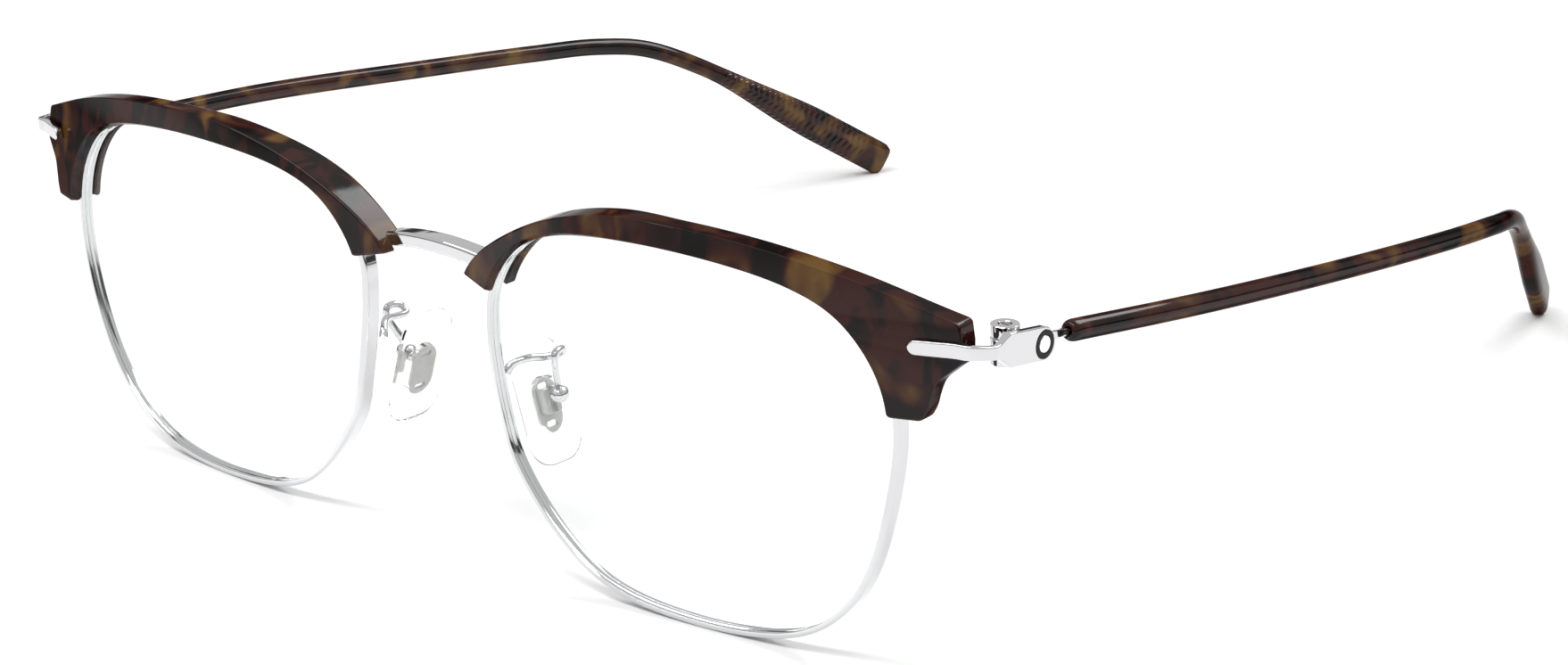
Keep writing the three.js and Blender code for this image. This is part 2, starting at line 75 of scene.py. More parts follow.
BRIDGE_HALF = 9.6
BRIDGE_SLOT_HALF = 9.75
PLATE_X = 72.5
PLATE_THICK = 0.9
PLATE_HEIGHT = 3.6
PLATE_TILT = 0.14
PLATE_END_Y = 16.9
BAR_THICK = 0.75
HINGE = {"x": 70.0, "y": 13.6, "top": 11.9, "height": 4.2, "radius": 1.5, "bore": 0.7}
KNUCKLE_GAP = 0.12
WEB_HALF = 0.8        # half the width of the webs between plate and knuckles
DISC = {"y": 16.9, "z": 9.3, "radius": 1.5, "stud": 0.9, "depth": 0.4}
CORE_DEPTH = 4.0
PADDLE_START = 124.0
PADDLE_FULL = 141.0
PAD = {"x": 9.8, "y": 9.9, "z": -8.3, "height": 14.2, "width": 7.3, "thick": 1.5, "lean": -17.5}
INSERT = {"height": 6.3, "width": 3.7, "thick": 0.45, "low": -0.3, "y": 0.15, "z": -0.5}
BALL = {"x": 2.55, "z": 0.5, "radius": 1.15}
SMOOTH_ANGLE = 32     # edges sharper than this, in degrees, stay crisp

RIM_OUTLINE = [
    (27.1, 0), (25.9, 6.9), (21.6, 12.5), (15.4, 15.4), (0, 17.1), (-15.7, 15.7), (-22.1, 12.7),
    (-26.3, 7.1), (-26.9, 1.5), (-25.4, -8), (-23.5, -13.5), (-13.6, -23.5), (0, -25.9), (14, -24.3),
    (20.1, -20.1), (24, -13.8),
]
BROW_TOP = [
    (-30.1, 7.6), (-28.9, 9.2), (-25.8, 11.8), (-17.4, 16.2), (-7, 18.8), (2, 19.1), (12, 18.4),
    (22, 16.6), (33.3, 13.2),
]
BROW_END = [(33.3, 13.2), (33.7, 11.2), (33.8, 9.3)]
BROW_LOBE = [(33.8, 9.3), (32.5, 8.2), (31.4, 7.1), (30.9, 5.6), (30.6, 4.3), (30, 3)]
TEMPLE_LINE = [
    (70.1, 24.5, 8.2), (72.6, 45, 6.3), (73.4, 72, 3.4), (73.2, 95, 1.0), (72.3, 107, -0.3),
    (70.2, 115, -1.9), (66.6, 123.5, -6.0), (61.6, 136, -14.2), (55.5, 150.8, -24.2),
]
ARM_LINE = [
    (9.6, 4.3, -3.5), (10.0, 4.8, -2.7), (11.0, 6.1, -2.1), (11.6, 8.3, -2.4), (11.9, 10.1, -2.5),
    (12.4, 10.3, -2.1), (12.8, 9.7, -1.6), (13.1, 8.4, -1.7), (13.1, 8.3, -2.8),
]


class BrowlineSizes(bpy.types.PropertyGroup):
    """Sizes that shape the whole frame."""
    eye_offset: bpy.props.FloatProperty(
        name="Eye offset", description="From the middle of the bridge to each eye centre",
        default=36.3 * MM, unit="LENGTH")
    base_radius: bpy.props.FloatProperty(
        name="Base radius", description="Radius of the curved front of lens, rim and brow",
        default=99 * MM, unit="LENGTH")
    face_angle: bpy.props.FloatProperty(
        name="Face angle", description="How far each eye turns back towards its temple",
        default=math.radians(3.8), subtype="ANGLE")
    rim_wall: bpy.props.FloatProperty(
        name="Rim wall", description="Radial thickness of the metal rim",
        default=0.75 * MM, unit="LENGTH")
    rim_depth: bpy.props.FloatProperty(
        name="Rim depth", description="Front to back size of the metal rim",
        default=1.8 * MM, unit="LENGTH")
    brow_lip: bpy.props.FloatProperty(
        name="Brow lip", description="Thickness of the brow's front wall",
        default=1.4 * MM, unit="LENGTH")
    brow_bevel: bpy.props.FloatProperty(
        name="Brow bevel", description="Bevel along the lens side of the brow",
        default=0.45 * MM, unit="LENGTH")
    bar_height: bpy.props.FloatProperty(
        name="Bar height", description="Height of the metal bar on the brow's face",
        default=1.55 * MM, unit="LENGTH")
    rod_radius: bpy.props.FloatProperty(
        name="Rod radius", description="Radius of the round part of a temple",
        default=1.1 * MM, unit="LENGTH")
    paddle_width: bpy.props.FloatProperty(
        name="Tip width", description="Width of the flat tip of a temple",
        default=4.7 * MM, unit="LENGTH")
    paddle_thick: bpy.props.FloatProperty(
        name="Tip thickness", description="Thickness of the flat tip of a temple",
        default=2.3 * MM, unit="LENGTH")
    wire_radius: bpy.props.FloatProperty(
        name="Wire radius", description="Radius of the nose pad arms",
        default=0.42 * MM, unit="LENGTH")


class BrowlineColours(bpy.types.PropertyGroup):
    """Colours of the finishes."""
    acetate_dark: bpy.props.FloatVectorProperty(
        name="Dark acetate", description="Ground colour of the mottled acetate",
        default=(0.0035, 0.0016, 0.0014), subtype="COLOR", min=0, max=1)
    acetate_red: bpy.props.FloatVectorProperty(
        name="Red acetate", description="Reddish clouds in the acetate",
        default=(0.030, 0.0065, 0.0045), subtype="COLOR", min=0, max=1)
    acetate_amber: bpy.props.FloatVectorProperty(
        name="Amber acetate", description="Amber flecks in the acetate",
        default=(0.110, 0.056, 0.014), subtype="COLOR", min=0, max=1)
    metal: bpy.props.FloatVectorProperty(
        name="Metal", description="Polished metal",
        default=(0.69, 0.69, 0.70), subtype="COLOR", min=0, max=1)
    inlay: bpy.props.FloatVectorProperty(
        name="Inlay", description="Glossy black inlay of the hinge plates",
        default=(0.006, 0.006, 0.007), subtype="COLOR", min=0, max=1)
    pad: bpy.props.FloatVectorProperty(
        name="Pads", description="Clear soft plastic of the nose pads",
        default=(0.965, 0.965, 0.96), subtype="COLOR", min=0, max=1)
    floor: bpy.props.FloatVectorProperty(
        name="Floor", description="Pale floor",
        default=(0.86, 0.86, 0.86), subtype="COLOR", min=0, max=1)


def size(name):
    """One of the sizes, in millimetres."""
    return getattr(bpy.context.scene.browline_sizes, name) / MM


def colour(name):
    """One of the colours, with full alpha."""
    return (*getattr(bpy.context.scene.browline_colours, name), 1)


# ---- lines and sections --------------------------------------------------------------------
def mix(a, b, t):
    return a + (b - a) * t


def ease(value, low, high):
    t = min(max((value - low) / (high - low), 0), 1)
    return t * t * (3 - 2 * t)


def curve(points, closed=False, share=24):
    """A centripetal curve through the points, finely divided."""
    p = np.array(points, float)
    if closed:
        p = np.vstack([p[-1], p, p[:2]])
    else:
        p = np.vstack([2 * p[0] - p[1], p, 2 * p[-1] - p[-2]])
    t = np.linspace(0, 1, share, endpoint=False)[:, None]
    fine = []
    for a, b, c, d in zip(p, p[1:], p[2:], p[3:]):
        e, f, g = (np.linalg.norm(n - m) ** 0.5 for m, n in ((a, b), (b, c), (c, d)))
        m = f * ((b - a) / e - (c - a) / (e + f) + (c - b) / f)
        n = f * ((c - b) / f - (d - b) / (f + g) + (d - c) / g)
        fine.append(b + m * t + (3 * (c - b) - 2 * m - n) * t**2 + (2 * (b - c) + m + n) * t**3)
    return np.vstack([*fine, p[-2]])


def spaced(line, count):
    """The line again, in equal steps."""
    run = np.concatenate([[0], np.cumsum(np.linalg.norm(np.diff(line, axis=0), axis=1))])
    at = np.linspace(0, run[-1], count + 1)
    return np.stack([np.interp(at, run, column) for column in line.T], axis=1)


def circle(radius, sides):
    angle = np.arange(sides) / sides * 2 * math.pi
    return np.stack([radius * np.cos(angle), radius * np.sin(angle)], axis=1)


def soften(rings, radii, steps=3):
    """Rounds each corner of every ring, so that all rings keep equally many points."""
    rings = np.asarray(rings, float)
    before, after = np.roll(rings, 1, 1) - rings, np.roll(rings, -1, 1) - rings
    back, on = (np.linalg.norm(e, axis=2, keepdims=True) for e in (before, after))
    radius = np.minimum(np.array(radii, float)[None, :, None], 0.45 * np.minimum(back, on))
    start, end = rings + before / back * radius, rings + after / on * radius
    t = np.linspace(0, 1, steps + 1)
    arcs = [(1 - s) ** 2 * start + 2 * s * (1 - s) * rings + s * s * end for s in t]
    return np.stack(arcs, axis=2).reshape(len(rings), -1, rings.shape[2])


def block(width, height, radius, steps=3):
    """A flat rectangle with rounded corners."""
    w, h = width / 2, height / 2
    corners = [[[-w, -h], [w, -h], [w, h], [-w, h]]]
    return soften(corners, [min(radius, 0.9 * w, 0.9 * h)] * 4, steps)[0]


def swept(line, sections, upright=True):
    """Rings of a section carried along a line; upright keeps its height near the vertical."""
    line = np.asarray(line, float)
    ahead = np.gradient(line, axis=0)
    ahead /= np.linalg.norm(ahead, axis=1, keepdims=True)
    if upright:
        across = np.cross(ahead, (0, 0, 1))
    else:
        across = [np.cross(ahead[0], (0, 0, 1))]
        for direction in ahead[1:]:
            across.append(across[-1] - direction * (across[-1] @ direction))
            across[-1] /= np.linalg.norm(across[-1])
        across = np.array(across)
    across /= np.linalg.norm(across, axis=1, keepdims=True)
    up = np.cross(across, ahead)
    sections = np.broadcast_to(sections, (len(line), *np.shape(sections)[-2:]))
    return line[:, None] + sections[..., :1] * across[:, None] + sections[..., 1:] * up[:, None]


def on_eye(u, v, w):
    """u towards the temple, v up and w back from the curved front, placed in front of the eye."""
    turn = bpy.context.scene.browline_sizes.face_angle
    back = w + (u * u + v * v) / (2 * size("base_radius"))
    x = size("eye_offset") + u * math.cos(turn) - back * math.sin(turn)
    return np.stack([x, u * math.sin(turn) + back * math.cos(turn), v + 0 * u], axis=-1)


def rim_line(inward=0.0):
    """The rim's outer edge, or a line at a distance inside it."""
    line = spaced(curve(RIM_OUTLINE, closed=True), RIM_STEPS)[:-1]
    step = np.roll(line, -1, 0) - np.roll(line, 1, 0)
    step /= np.linalg.norm(step, axis=1, keepdims=True)
    return line + np.stack([-step[:, 1], step[:, 0]], axis=1) * inward


def rim_place(side, height):
    """Where the rim line passes a height on its nasal side (-1) or temple side (1)."""
    line = rim_line()
    after = np.roll(line, -1, 0)
    crossing = (line[:, 0] * side > 0) & ((line[:, 1] - height) * (after[:, 1] - height) <= 0)
    i = int(np.flatnonzero(crossing)[0])
    return i + (height - line[i, 1]) / (after[i, 1] - line[i, 1])


def on_pad(points):
    """From a nose pad's own frame, x through its thickness, to its leaning place."""
    p = np.asarray(points, float)
    c, s = math.cos(math.radians(PAD["lean"])), math.sin(math.radians(PAD["lean"]))
    x, y, z = p[..., 0], p[..., 1], p[..., 2]
    return np.stack([PAD["x"] + x * c + z * s, PAD["y"] + y, PAD["z"] - x * s + z * c], axis=-1)


# ---- mesh tools ----------------------------------------------------------------------------
def activate(piece):
    bpy.ops.object.select_all(action="DESELECT")
    piece.select_set(True)
    bpy.context.view_layer.objects.active = piece


def outward(piece):
    """Turns every face of a closed piece outwards."""
    activate(piece)
    bpy.ops.object.mode_set(mode="EDIT")
    bpy.ops.mesh.select_all(action="SELECT")
    bpy.ops.mesh.normals_make_consistent(inside=False)
    bpy.ops.object.mode_set(mode="OBJECT")


def tube(rings, loop=False):
    """Wraps a grid into a closed skin through the rings, which are in millimetres from the eyes."""
    rings = np.concatenate([rings, rings[:1]]) if loop else np.asarray(rings)
    rings = np.concatenate([rings, rings[:, :1]], axis=1) + (0, FRONT_Y, EYE_Z)
    bpy.ops.object.select_all(action="DESELECT")
    bpy.ops.mesh.primitive_grid_add(x_subdivisions=rings.shape[1] - 1, y_subdivisions=len(rings) - 1)
    piece = bpy.context.object
    piece.data.vertices.foreach_set("co", (rings * MM).astype(np.float32).ravel())
    bpy.ops.object.mode_set(mode="EDIT")
    bpy.ops.mesh.select_all(action="SELECT")
    bpy.ops.mesh.remove_doubles(threshold=0.002 * MM)
    bpy.ops.mesh.fill_holes(sides=0)
    bpy.ops.mesh.normals_make_consistent(inside=False)
    bpy.ops.object.mode_set(mode="OBJECT")
    return piece


def lathe(profile, axis, centre, steps=40, loop=False):
    """Turns (radius, height) points about an axis; a loop's profile is closed on itself."""
    rings = []
    for radius, height in profile:
        a, b = circle(max(radius, 0.004), steps).T
        h = np.full(steps, height)
        rings.append(np.stack({"X": (h, a, b), "Y": (b, h, a), "Z": (a, b, h)}[axis], axis=1))
    return tube(np.array(rings) + centre, loop)


def bevelled(profile, radius, steps=3):
    """A closed (radius, height) profile with softened corners."""
    return soften([profile], [radius] * len(profile), steps)[0]


def cube(low, high):
    """A box between two corners."""
    low, high = np.array(low), np.array(high)
    bpy.ops.object.select_all(action="DESELECT")
    bpy.ops.mesh.primitive_cube_add(size=1)
    piece = bpy.context.object
    bpy.ops.object.mode_set(mode="EDIT")
    bpy.ops.transform.resize(value=tuple((high - low) * MM), center_override=(0, 0, 0))
    middle = (low + high) / 2 + (0, FRONT_Y, EYE_Z)
    bpy.ops.transform.translate(value=tuple(middle * MM))
    bpy.ops.object.mode_set(mode="OBJECT")
    return piece


def combine(piece, tool, operation):
    """Adds a tool's shape to a piece or cuts it away, and removes the tool."""
    activate(piece)
    bpy.ops.object.modifier_add(type="BOOLEAN")
    modifier = piece.modifiers[-1]
    modifier.operation = operation
    modifier.solver = "EXACT"
    modifier.object = tool
    bpy.ops.object.modifier_apply(modifier=modifier.name)
    bpy.data.objects.remove(tool)
    return piece


def round_caps(piece, insets=((0.06, 0.10), (0.10, 0.05))):
    """Softens the edges of the flat ends of a swept piece."""
    activate(piece)
    for polygon in piece.data.polygons:
        polygon.select = len(polygon.vertices) > 4
    bpy.ops.object.mode_set(mode="EDIT")
    bpy.ops.mesh.select_mode(type="FACE")
    for thickness, depth in insets:
        bpy.ops.mesh.inset(thickness=thickness * MM, depth=depth * MM, use_even_offset=True)
    bpy.ops.mesh.select_mode(type="VERT")
    bpy.ops.object.mode_set(mode="OBJECT")
    return piece


def unselected(piece):
    for part in (piece.data.vertices, piece.data.edges, piece.data.polygons):
        part.foreach_set("select", np.zeros(len(part), bool))


def mirrored(piece):
    """A copy of a left piece for the right side, with its own mesh."""
    activate(piece)
    bpy.ops.object.duplicate()
    copy = bpy.context.object
    bpy.ops.object.mode_set(mode="EDIT")
    bpy.ops.mesh.select_all(action="SELECT")
    bpy.ops.transform.resize(value=(-1, 1, 1), center_override=(0, 0, 0))
    bpy.ops.object.mode_set(mode="OBJECT")
    outward(copy)
    return copy


def settle(piece, name, node, body, material, angle=SMOOTH_ANGLE):
    """Names a finished piece, gives it its finish and lets it ride in place of its node."""
    if not piece.data.polygons:
        raise RuntimeError(f"{name} came out empty")
    piece.name = piece.data.name = name
    piece.data.materials.clear()
    piece.data.materials.append(material)
    activate(piece)
    bpy.ops.object.shade_smooth_by_angle(angle=math.radians(angle))
    bpy.ops.object.modifier_add(type="WEIGHTED_NORMAL")
    piece.modifiers[-1].weight = 100
    piece.modifiers[-1].keep_sharp = True
    bpy.ops.object.modifier_apply(modifier=piece.modifiers[-1].name)
    unselected(piece)
    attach(piece, body)
    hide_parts(node)


def both_sides(piece, name, node, bodies, material, angle=SMOOTH_ANGLE):
    """Settles a left piece and its mirror image."""
    copy = mirrored(piece)
    settle(piece, f"{name}_left", f"{node}_left", bodies[0], material, angle)
    settle(copy, f"{name}_right", f"{node}_right", bodies[1], material, angle)


FRONT = ("front", "front")
ARMS = ("left_arm", "right_arm")
PADS = ("left_pad", "right_pad")


# ---- finishes ------------------------------------------------------------------------------
class Nodes:
    """A material's node tree, with short calls to add and join its nodes."""

    def __init__(self, name):
        self.material = bpy.data.materials.get(name) or bpy.data.materials.new(name)
        self.material.use_nodes = True
        self.tree = self.material.node_tree
        self.tree.nodes.clear()

    def add(self, kind, inputs=None, **settings):
        node = self.tree.nodes.new(f"ShaderNode{kind}")
        for key, value in settings.items():
            setattr(node, key, value)
        for key, value in (inputs or {}).items():
            self.put(node.inputs[key], value)
        return node

    def put(self, socket, value):
        if isinstance(value, bpy.types.NodeSocket):
            self.tree.links.new(value, socket)
        else:
            socket.default_value = value

    def math(self, operation, a, b=0.0):
        return self.add("Math", {0: a, 1: b}, operation=operation).outputs[0]

    def blend(self, share, a, b):
        node = self.add("Mix", data_type="RGBA")
        for socket, value in zip((node.inputs[0], node.inputs[6], node.inputs[7]), (share, a, b)):
            self.put(socket, value)
        return node.outputs[2]

    def remap(self, value, low, high, to_low, to_high):
        ranges = {0: value, 1: low, 2: high, 3: to_low, 4: to_high}
        return self.add("MapRange", ranges, interpolation_type="SMOOTHSTEP").outputs[0]

    def place(self, stretch=(1, 1, 1), turn=(0, 0, 0), shift=(0, 0, 0)):
        where = self.add("TexCoord").outputs["Object"]
        mapping = {"Vector": where, "Scale": stretch, "Rotation": turn, "Location": shift}
        return self.add("Mapping", mapping).outputs[0]

    def noise(self, vector, scale, detail=2.0, distortion=0.0):
        inputs = {"Vector": vector, "Scale": scale, "Detail": detail, "Distortion": distortion}
        return self.add("TexNoise", inputs).outputs["Fac"]

    def bump(self, height, distance):
        inputs = {"Height": height, "Distance": distance * MM, "Strength": 1.0}
        return self.add("Bump", inputs).outputs[0]

    def show(self, shader):
        output = self.add("OutputMaterial")
        self.tree.links.new(shader, output.inputs["Surface"])
        return self.material


def acetate_nodes(name, stretch, shift=(0, 0, 0)):
    """Dark acetate with reddish clouds and soft amber flecks, polished."""
    n = Nodes(name)
    where = n.place(stretch, (0, 0.3, 0), shift)
    clouds = n.noise(where, 185, 2, 0.7)
    flecks = n.noise(where, 145, 1.5, 1.0)
    streaks = n.noise(where, 330, 2, 0.4)
    halo = n.remap(flecks, 0.46, 0.58, 0, 1)
    reddish = n.math("MAXIMUM", n.remap(clouds, 0.46, 0.60, 0, 1), halo)
    ground = n.blend(reddish, colour("acetate_dark"), colour("acetate_red"))
    share = n.remap(flecks, 0.53, 0.70, 0, 1)
    uneven = n.math("MULTIPLY", share, n.remap(streaks, 0.3, 0.6, 0.45, 1))
    tint = n.blend(uneven, ground, colour("acetate_amber"))
    wear = n.noise(where, 900, 2)
    graze = n.add("LayerWeight", {"Blend": 0.5}).outputs["Facing"]
    shader = n.add("BsdfPrincipled", {
        "Base Color": tint, "Roughness": n.remap(wear, 0.3, 0.7, 0.05, 0.10), "IOR": 1.49,
        "Specular IOR Level": n.remap(graze, 0.38, 0.62, 0.28, 0.005),
        "Normal": n.bump(n.noise(where, 420, 1), 0.004),
    })
    return n, shader


def brow_acetate():
    n, shader = acetate_nodes("brow_acetate", (1.15, 1, 0.7))
    return n.show(shader.outputs[0])


def temple_acetate():
    """The same acetate, with fine engraved ripples on the inner face of the tips."""
    n, shader = acetate_nodes("temple_acetate", (1, 0.8, 1), (0.031, 0.012, 0.02))
    uv = n.add("SeparateXYZ", {0: n.add("TexCoord").outputs["UV"]})
    around, along = uv.outputs[0], uv.outputs[1]
    width = n.math("SINE", n.math("MULTIPLY", around, 2 * math.pi))
    scallop = n.math("ABSOLUTE", n.math("SINE", n.math("MULTIPLY", width, 4.4)))
    rows = n.math("ADD", n.math("MULTIPLY", along, 870), n.math("MULTIPLY", scallop, 2.6))
    ripple = n.math("SINE", rows)
    facing = n.remap(n.math("ABSOLUTE", n.math("SUBTRACT", around, 0.5)), 0.15, 0.20, 1, 0)
    reach = n.math("MULTIPLY", n.remap(along, 0.775, 0.79, 0, 1), n.remap(along, 0.965, 0.975, 1, 0))
    height = n.math("MULTIPLY", ripple, n.math("MULTIPLY", facing, reach))
    engraved = n.bump(height, 0.05)
    soft = shader.inputs["Normal"].links[0].from_node
    n.tree.links.new(engraved, soft.inputs["Normal"])
    return n.show(shader.outputs[0])


def polished_metal():
    """Bright metal with the faintest drawn grain."""
    n = Nodes("polished_metal")
    fine = n.noise(n.place(), 1500, 2)
    broad = n.noise(n.place(), 160, 2)
    tint = n.blend(n.remap(broad, 0.3, 0.7, 0, 0.25), colour("metal"), (0.66, 0.66, 0.67, 1))
    shader = n.add("BsdfPrincipled", {
        "Base Color": tint, "Metallic": 1.0, "Roughness": n.remap(broad, 0.3, 0.7, 0.05, 0.09),
        "Normal": n.bump(fine, 0.0015),
    })
    return n.show(shader.outputs[0])


def bright_metal():
    """Brighter metal of the studs in the hinge plates."""
    n = Nodes("bright_metal")
    shine = n.noise(n.place(), 500, 2)
    tint = n.blend(shine, (0.97, 0.97, 0.97, 1), (0.91, 0.91, 0.92, 1))
    shader = n.add("BsdfPrincipled", {
        "Base Color": tint, "Metallic": 1.0, "Roughness": n.remap(shine, 0.3, 0.7, 0.16, 0.24),
        "Normal": n.bump(shine, 0.002),
    })
    return n.show(shader.outputs[0])


def satin_metal():
    """Duller metal of the hinge screws."""
    n = Nodes("satin_metal")
    grain = n.noise(n.place((1, 0.12, 1)), 1400, 3)
    tint = n.blend(grain, colour("metal"), (0.56, 0.56, 0.57, 1))
    shader = n.add("BsdfPrincipled", {
        "Base Color": tint, "Metallic": 1.0, "Roughness": n.remap(grain, 0.3, 0.7, 0.2, 0.32),
        "Normal": n.bump(grain, 0.006),
    })
    return n.show(shader.outputs[0])


def grey_insert():
    """Dull grey metal of the pad inserts."""
    n = Nodes("grey_insert")
    grain = n.noise(n.place(), 900, 3)
    tint = n.blend(grain, (0.66, 0.66, 0.645, 1), (0.56, 0.56, 0.55, 1))
    shader = n.add("BsdfPrincipled", {
        "Base Color": tint, "Metallic": 0.35, "Roughness": n.remap(grain, 0.3, 0.7, 0.34, 0.46),
        "Normal": n.bump(grain, 0.003),
    })
    return n.show(shader.outputs[0])


def black_inlay():
    n = Nodes("black_inlay")
    shine = n.noise(n.place(), 700, 2)
    tint = n.blend(shine, colour("inlay"), (0.014, 0.014, 0.016, 1))
    shader = n.add("BsdfPrincipled", {
        "Base Color": tint, "Roughness": n.remap(shine, 0.3, 0.7, 0.08, 0.16),
        "Specular IOR Level": 0.15,
    })
    return n.show(shader.outputs[0])


def see_through(n, shader, tint):
    """Lets lamps shine through a clear piece, so that it casts no dark shadow."""
    path = n.add("LightPath").outputs["Is Shadow Ray"]
    clear = n.add("BsdfTransparent", {"Color": tint})
    mixed = n.add("MixShader", {0: path, 1: shader.outputs[0], 2: clear.outputs[0]})
    return n.show(mixed.outputs[0])


def clear_lens():
    """Clear lens with a painted coating sheen: its see-through tint turns a trace of green towards
    grazing angles, standing in for the coating's reflection.
    """
    n = Nodes("clear_lens")
    graze = n.add("LayerWeight", {"Blend": 0.25}).outputs["Facing"]
    # painted sheen: the base colour turns faintly green towards grazing angles, in place of the
    # coating's reflection
    tint = n.blend(graze, (0.995, 1.0, 0.998, 1), (0.93, 0.965, 0.95, 1))
    shader = n.add("BsdfPrincipled", {
        "Base Color": tint, "Roughness": 0.0, "IOR": 1.02, "Transmission Weight": 1.0,
        "Coat Weight": 0.2, "Coat Roughness": 0.0,
    })
    return see_through(n, shader, (0.99, 0.995, 0.992, 1))


def clear_pad():
    """Clear, slightly milky pad with a moulded skin."""
    n = Nodes("clear_pad")
    skin = n.noise(n.place(), 620, 2)
    tint = n.blend(skin, colour("pad"), (0.93, 0.935, 0.93, 1))
    shader = n.add("BsdfPrincipled", {
        "Base Color": tint, "Roughness": n.remap(skin, 0.3, 0.7, 0.01, 0.04), "IOR": 1.14,
        "Transmission Weight": 1.0, "Normal": n.bump(skin, 0.01),
    })
    return see_through(n, shader, (0.95, 0.95, 0.95, 1))


def pale_floor():
    n = Nodes("pale_floor")
    speck = n.noise(n.place(), 9, 3)
    tint = n.blend(n.remap(speck, 0.3, 0.7, 0, 1), colour("floor"), (0.84, 0.84, 0.84, 1))
    shader = n.add("BsdfPrincipled", {
        "Base Color": tint, "Roughness": 0.75, "Specular IOR Level": 0.2,
    })
    return n.show(shader.outputs[0])


# ---- the front -----------------------------------------------------------------------------
def make_rims():
    wall, depth = size("rim_wall"), size("rim_depth")
    middle = depth / 2
    section = [
        (0, 0, 0.26), (0, depth, 0.26), (wall, depth, 0.12), (wall, middle + GROOVE, 0.05),
        (wall - GROOVE, middle, 0.04), (wall, middle - GROOVE, 0.05), (wall, 0, 0.14),
    ]
    corners = np.stack([on_eye(*rim_line(inward).T, w) for inward, w, _ in section], axis=1)
    rim = tube(soften(corners, [radius for _, _, radius in section], 4), loop=True)
    both_sides(rim, "metal_rim", "rim", FRONT, polished_metal())


def make_lenses():
    wall, depth = size("rim_wall"), size("rim_depth")
    edge = rim_line(wall + FIT)
    front, back = 0.15, depth - 0.15
    middle = depth / 2
    shares = np.array([0.03, 0.12, 0.25, 0.4, 0.55, 0.7, 0.84, 0.95])
    rings = [on_eye(*(edge * share).T, front) for share in shares]
    profile = [
        (wall + FIT, front), (wall + FIT, middle - GROOVE), (wall - GROOVE + FIT, middle - 0.04),
        (wall - GROOVE + FIT, middle + 0.04), (wall + FIT, middle + GROOVE), (wall + FIT, back),
    ]
    rings += [on_eye(*rim_line(inward).T, w) for inward, w in profile]
    rings += [on_eye(*(edge * share).T, back) for share in shares[::-1]]
    both_sides(tube(rings), "clear_lens", "lens", FRONT, clear_lens(), 20)


def brow_outline():
    """Points of the brow's outer edge as u, v, share of the length and place past the corner."""
    crown = spaced(curve(BROW_TOP), 110)
    share = np.linspace(0, BROW_CORNER, len(crown))
    top = np.column_stack([crown, share, 0 * share])[:-1]
    past = len(BROW_END) + len(BROW_LOBE) - 2
    at = np.linspace(0, 2, 13)
    side = np.stack([np.interp(at, range(3), column) for column in np.array(BROW_END, float).T], axis=1)
    lobe = curve(BROW_LOBE, share=8)[1:]
    below = 2 + np.arange(1, len(lobe) + 1) / len(lobe) * (past - 2)
    rest = np.vstack([np.column_stack([side, at]), np.column_stack([lobe, below])])
    rest = np.insert(rest, 2, mix(BROW_CORNER, 1, rest[:, 2] / past), axis=1)
    outline = np.vstack([top, rest])
    return rounded_corner(rounded_corner(outline, len(top) + len(side) - 1, 1), len(top), 1)


def rounded_corner(points, index, reach):
    """Replaces a corner and its neighbours by an arc between the points on both sides."""
    start, corner, end = points[index - reach], points[index], points[index + reach]
    t = np.linspace(0, 1, 2 * reach + 3)[1:-1, None]
    arc = (1 - t) ** 2 * start + 2 * t * (1 - t) * corner + t**2 * end
    return np.vstack([points[:index - reach + 1], arc, points[index + reach:]])


def closing_ends(outline, radius=END_ROUND):
    """Adds a last column that shrinks the section towards both ends, so that they come out round."""
    run = np.concatenate([[0], np.cumsum(np.linalg.norm(np.diff(outline[:, :2], axis=0), axis=1))])
    angles = np.radians([90, 68, 46, 24, 0])
    near = radius * (1 - np.sin(angles))
    middle = run[(run > radius * 1.2) & (run < run[-1] - radius * 1.2)]
    at = np.concatenate([near, middle, run[-1] - near[::-1]])
    shrink = radius * (1 - np.cos(angles))
    shrink = np.concatenate([shrink, 0 * middle, shrink[::-1]])
    return np.column_stack([*(np.interp(at, run, column) for column in outline.T), shrink])


def brow_section(u, v, share, past, close, places, lines):
    """One ring of the channel: over the front, the top and the rear, and round the rim."""
    at = mix(*places, share)
    low = int(at)
    lens, bevel, floor = (mix(line[low], line[low + 1], at - low) for line in lines)
    inwards = (lens - (u, v)) / np.linalg.norm(lens - (u, v)) * close
    lens, bevel, floor = lens - inwards, bevel - inwards, floor - inwards
    u, v = u + inwards[0], v + inwards[1]
    front = -FIT - mix(BROW_LIP_NASAL, size("brow_lip"), ease(u, -28, 0)) + close
    rear = mix(BROW_REAR_NASAL, BROW_REAR, ease(u, -28, 24)) - 0.6 * close
    nasal = mix(BROW_TOP_NASAL, BROW_TOP_END, ease(-u, 21, 30))
    ridge = mix(nasal, BROW_TOP_REAR, ease(u, -23, 2))
    top_rear = mix(ridge, BROW_LOBE_REAR, ease(past, 2, 5)) - close
    wall, lip = CHANNEL_BACK + 0.3 * close, -FIT - close
    return [
        (*bevel, front), (u, v, front), (u, v, top_rear), (*lens, rear), (*lens, wall),
        (*floor, wall), (*floor, lip), (*lens, lip), (*lens, lip - max(0.3 - close, 0.1)),
    ]


